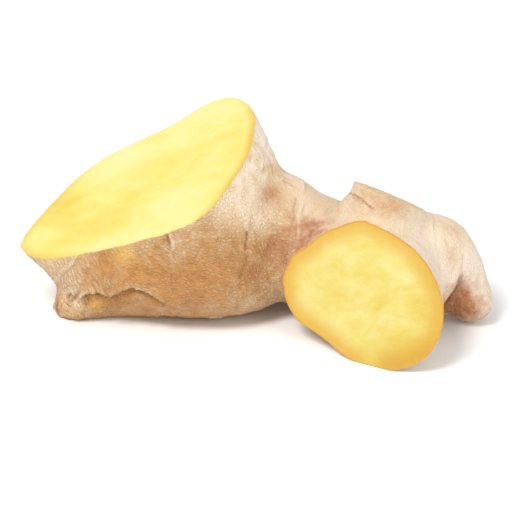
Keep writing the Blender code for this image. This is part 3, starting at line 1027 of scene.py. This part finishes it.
def skin_material(material):
    t = Tree(material)
    grains = [t.attribute(name, True) for name in ("grain_left", "grain_fan", "grain_right")]
    place = t.node("ShaderNodeTexCoord").outputs["Object"]

    def fibres(length, width, detail=3.0, roughness=0.6):
        return t.weighted([t.noise(t.scaled(g, (1 / length, 1 / width, 1 / width)), 1, detail, roughness, 0.3)
                           for g in grains], WEIGHTS)

    def pads(length, width, reach):
        """Small raised pads between grooves, as in leather."""
        return t.remap(t.weighted([t.cells(t.stirred(t.scaled(g, (1 / length, 1 / width, 1 / width)), 0.8))
                                   for g in grains], WEIGHTS), 0.0, reach)

    fine = t.math("ADD", t.math("MULTIPLY", pads(1.70, 0.86, 0.34), 0.82),
                  t.math("MULTIPLY", t.remap(fibres(2.6, 0.95, 3.0, 0.65), 0.34, 0.66), 0.18))
    finer = fibres(1.3, 0.75, 1.0, 0.5)
    coarse = fibres(3.4, 2.2, 2.0)
    leathery = t.attribute("leathery")
    grit = t.noise(place, 2600, 2.0, 0.6)
    blotch = t.noise(place, 260, 4.0, 0.6, 0.4)

    # lightness: paler crests and browner hollows on the wrinkles, partly the skin's own colour and partly painted
    # highlight and shade
    grain = t.math("ADD", t.math("MULTIPLY", fine, 0.80), t.math("MULTIPLY", finer, 0.44))
    grain = t.math("MULTIPLY", t.math("SUBTRACT", 0.66, grain), leathery)
    tone = t.math("ADD", t.attribute("tone"), t.math("MULTIPLY", grain, 0.20))
    tone = t.math("ADD", tone, t.math("MULTIPLY", t.math("SUBTRACT", 0.5, coarse), 0.12))
    tone = t.math("ADD", tone, t.math("MULTIPLY", t.math("SUBTRACT", blotch, 0.5), 0.14))
    colour = t.ramp(tone, ((0.0, (0.85, 0.745, 0.63)), (0.25, (0.75, 0.61, 0.45)), (0.5, (0.63, 0.465, 0.295)),
                           (0.75, (0.52, 0.33, 0.17)), (1.0, (0.42, 0.22, 0.08))))
    colour = t.mix(t.remap(grain, 0.05, 0.50, 0.0, 0.36), colour, (0.44, 0.20, 0.075))
    ragged = t.math("ADD", 0.55, t.math("MULTIPLY", coarse, 0.9))
    warm = t.math("MULTIPLY", t.attribute("warm"), ragged, clamp=True)
    colour = t.mix(warm, colour, t.ramp(coarse, ((0.35, (0.39, 0.165, 0.038)), (0.62, (0.53, 0.26, 0.08)))))
    red = t.math("MULTIPLY", t.attribute("red"), t.math("ADD", 0.50, t.math("MULTIPLY", coarse, 0.9)), clamp=True)
    # the red is also deeper in the wrinkles' hollows: partly painted shade
    colour = t.mix(red, colour, t.ramp(grain, ((0.0, (0.39, 0.155, 0.066)), (0.5, (0.29, 0.10, 0.04)))))
    gold = t.math("MULTIPLY", t.attribute("gold"), ragged, clamp=True)
    colour = t.mix(gold, colour, (0.76, 0.46, 0.12))
    colour = t.mix(t.attribute("dark"), colour, (0.17, 0.07, 0.025))
    # pale feathery lines of the scale leaves at the left end
    streak = t.noise(t.scaled(grains[1], (1 / 4.5, 1 / 0.85, 1 / 0.85)), 1, 1.0, 0.4)
    streak = t.math("MULTIPLY", t.remap(streak, 0.56, 0.66), t.math("MULTIPLY", t.attribute("w_fan"), 0.30))
    streak = t.math("MULTIPLY", streak, t.math("SUBTRACT", 1.0, warm), clamp=True)
    colour = t.mix(streak, colour, (0.80, 0.62, 0.44))
    # specks
    speck = t.math("MULTIPLY", t.remap(grit, 0.68, 0.76), 0.22)
    colour = t.mix(speck, colour, (0.24, 0.10, 0.05))
    # the skin is thin and yellowish where it was cut
    colour = t.mix(t.attribute("skin_edge"), colour, (0.72, 0.44, 0.16))
    t.feed(t.shader.inputs["Base Color"], colour)

    t.feed(t.shader.inputs["Roughness"], t.remap(fine, 0.0, 1.0, 0.74, 0.56))
    height = t.math("ADD", t.math("MULTIPLY", fine, 0.95), t.math("MULTIPLY", finer, 0.50))
    height = t.math("MULTIPLY", height, leathery)
    height = t.math("ADD", height, t.math("MULTIPLY", streak, 0.8))
    height = t.math("ADD", height, t.math("MULTIPLY", grit, 0.12))
    t.feed(t.shader.inputs["Normal"], t.bump(height, 0.00030, 1.0))
    t.shader.inputs["Subsurface Weight"].default_value = 0.05
    t.shader.inputs["Subsurface Radius"].default_value = (1.0, 0.5, 0.25)
    t.shader.inputs["Subsurface Scale"].default_value = 0.0012
    t.shader.inputs["Specular IOR Level"].default_value = 0.35


def flesh_material(material):
    t = Tree(material)
    place = t.node("ShaderNodeTexCoord").outputs["Object"]
    stretched = t.scaled(place, (1000 / 15, 1000 / 7, 1000 / 7))
    cloud = t.noise(stretched, 1, 3.0, 0.55, 0.6)
    cloud_2 = t.noise(t.scaled(place, (1000 / 5, 1000 / 2.6, 1000 / 2.6)), 1, 3.0, 0.6, 0.5)
    fine = t.noise(t.scaled(place, (1000 / 1.2, 1000 / 0.7, 1000 / 0.7)), 1, 2.0, 0.6)
    top = t.attribute("face_kind")
    rim = t.attribute("rim")
    deep = t.attribute("deep")

    mottled = t.math("ADD", t.math("MULTIPLY", cloud, 0.75), t.math("MULTIPLY", cloud_2, 0.35))
    mottled = t.math("ADD", mottled, t.math("MULTIPLY", t.math("SUBTRACT", deep, 0.3),
                                            t.math("SUBTRACT", 0.30, t.math("MULTIPLY", top, 0.14))))
    yolk = t.math("ADD", t.attribute("yolk"), t.math("MULTIPLY", t.math("SUBTRACT", mottled, 0.5), 0.7))
    colour = t.ramp(yolk, ((0.15, (0.71, 0.675, 0.33)), (0.42, (0.71, 0.655, 0.25)), (0.66, (0.70, 0.605, 0.16)),
                           (0.92, (0.68, 0.52, 0.095))))
    # the side cut's ramp is deeper yellow and darker than the long cut's: partly its colour, partly painted shade
    side = t.ramp(mottled, ((0.30, (0.68, 0.605, 0.235)), (0.52, (0.655, 0.53, 0.135)), (0.78, (0.61, 0.43, 0.075))))
    colour = t.mix(top, side, colour)
    # the ring of bundles under the skin
    wobble = t.math("ADD", rim, t.math("MULTIPLY", t.math("SUBTRACT", cloud_2, 0.5), 1.6))
    band_top = t.math("MULTIPLY", t.remap(wobble, 0.2, 3.0, 0.75, 0.0), deep)
    band_side = t.remap(wobble, 0.5, 6.5, 0.95, 0.0)
    band = t.math("ADD", t.math("MULTIPLY", band_top, top),
                  t.math("MULTIPLY", band_side, t.math("SUBTRACT", 1.0, top)), clamp=True)
    colour = t.mix(band, colour, (0.61, 0.375, 0.06))
    low = t.math("MULTIPLY", t.math("MULTIPLY", deep, t.math("SUBTRACT", 1.0, top)), t.remap(wobble, 1.0, 9.0, 0.75, 0.10))
    colour = t.mix(low, colour, (0.53, 0.315, 0.035))
    line = t.remap(rim, 0.0, 0.80, 1.0, 0.0)
    line = t.math("MULTIPLY", line, t.math("SUBTRACT", 0.95, t.math("MULTIPLY", top, 0.70)))
    colour = t.mix(line, colour, (0.55, 0.25, 0.045))
    colour = t.mix(t.remap(fine, 0.62, 0.8, 0.0, 0.18), colour, (0.62, 0.50, 0.13))
    t.feed(t.shader.inputs["Base Color"], colour)
    t.feed(t.shader.inputs["Roughness"], t.remap(cloud_2, 0.3, 0.7, 0.42, 0.56))
    height = t.math("ADD", t.math("MULTIPLY", cloud_2, 1.0), t.math("MULTIPLY", fine, 0.35))
    t.feed(t.shader.inputs["Normal"], t.bump(height, 0.00016, 1.0))
    t.shader.inputs["Subsurface Weight"].default_value = 0.35
    t.shader.inputs["Subsurface Radius"].default_value = (1.0, 0.75, 0.25)
    t.shader.inputs["Subsurface Scale"].default_value = 0.0025
    t.shader.inputs["Specular IOR Level"].default_value = 0.30


def scar_material(material):
    t = Tree(material)
    place = t.node("ShaderNodeTexCoord").outputs["Object"]
    cloud = t.noise(place, 330, 4.0, 0.65, 0.8)
    fine = t.noise(place, 1500, 3.0, 0.6)
    rim = t.attribute("rim")
    colour = t.ramp(cloud, ((0.25, (0.60, 0.41, 0.25)), (0.45, (0.69, 0.50, 0.31)), (0.60, (0.74, 0.55, 0.36)),
                            (0.80, (0.78, 0.61, 0.43))))
    pores = t.node("ShaderNodeTexVoronoi")
    t.feed(pores.inputs["Vector"], place)
    pores.inputs["Scale"].default_value = 620
    dots = t.remap(pores.outputs["Distance"], 0.12, 0.28, 0.35, 0.0)
    colour = t.mix(dots, colour, (0.22, 0.09, 0.04))
    colour = t.mix(t.remap(rim, 0.0, 1.3, 0.12, 0.0), colour, (0.55, 0.33, 0.17))
    t.feed(t.shader.inputs["Base Color"], colour)
    t.feed(t.shader.inputs["Roughness"], t.remap(fine, 0.3, 0.7, 0.95, 0.85))
    t.feed(t.shader.inputs["Normal"], t.bump(t.math("ADD", cloud, t.math("MULTIPLY", fine, 0.4)), 0.0006, 1.0))
    t.shader.inputs["Specular IOR Level"].default_value = 0.15
    t.shader.inputs["Subsurface Weight"].default_value = 0.06
    t.shader.inputs["Subsurface Scale"].default_value = 0.001


skin_material(slots[SKIN_SLOT])
flesh_material(slots[FLESH_SLOT])
scar_material(slots[SCAR_SLOT])

# ---------------------------------------------------------------- stage


def make_stage():
    bm = bmesh.new()
    bmesh.ops.create_grid(bm, x_segments=8, y_segments=8, size=3)
    mesh = bpy.data.meshes.new("floor")
    bm.to_mesh(mesh)
    bm.free()
    floor = bpy.data.objects.new("floor", mesh)
    bpy.context.scene.collection.objects.link(floor)
    paper = bpy.data.materials.new("floor_paper")
    paper.use_nodes = True
    shader = paper.node_tree.nodes["Principled BSDF"]
    shader.inputs["Base Color"].default_value = (0.95, 0.95, 0.95, 1)
    shader.inputs["Roughness"].default_value = 0.9
    mesh.materials.append(paper)
    world = bpy.data.worlds.new("studio")
    bpy.context.scene.world = world
    world.use_nodes = True
    sky = world.node_tree.nodes["Background"]
    sky.inputs["Color"].default_value = (1, 1, 1, 1)
    sky.inputs["Strength"].default_value = 0.70
    for name, place, size, power in (
        ("key", (-0.42, -0.52, 0.95), 0.45, 8.8),
        ("fill", (0.80, -0.85, 0.55), 0.80, 3.4),
    ):
        light = bpy.data.lights.new(name, "AREA")
        light.shape = "DISK"
        light.size = size
        light.energy = power
        obj = bpy.data.objects.new(name, light)
        obj.location = place
        obj.rotation_mode = "QUATERNION"
        obj.rotation_quaternion = (Vector((0, 0, 0.02)) - Vector(place)).to_track_quat("-Z", "Y")
        bpy.context.scene.collection.objects.link(obj)
    bpy.context.scene.view_settings.view_transform = "Standard"


make_stage()
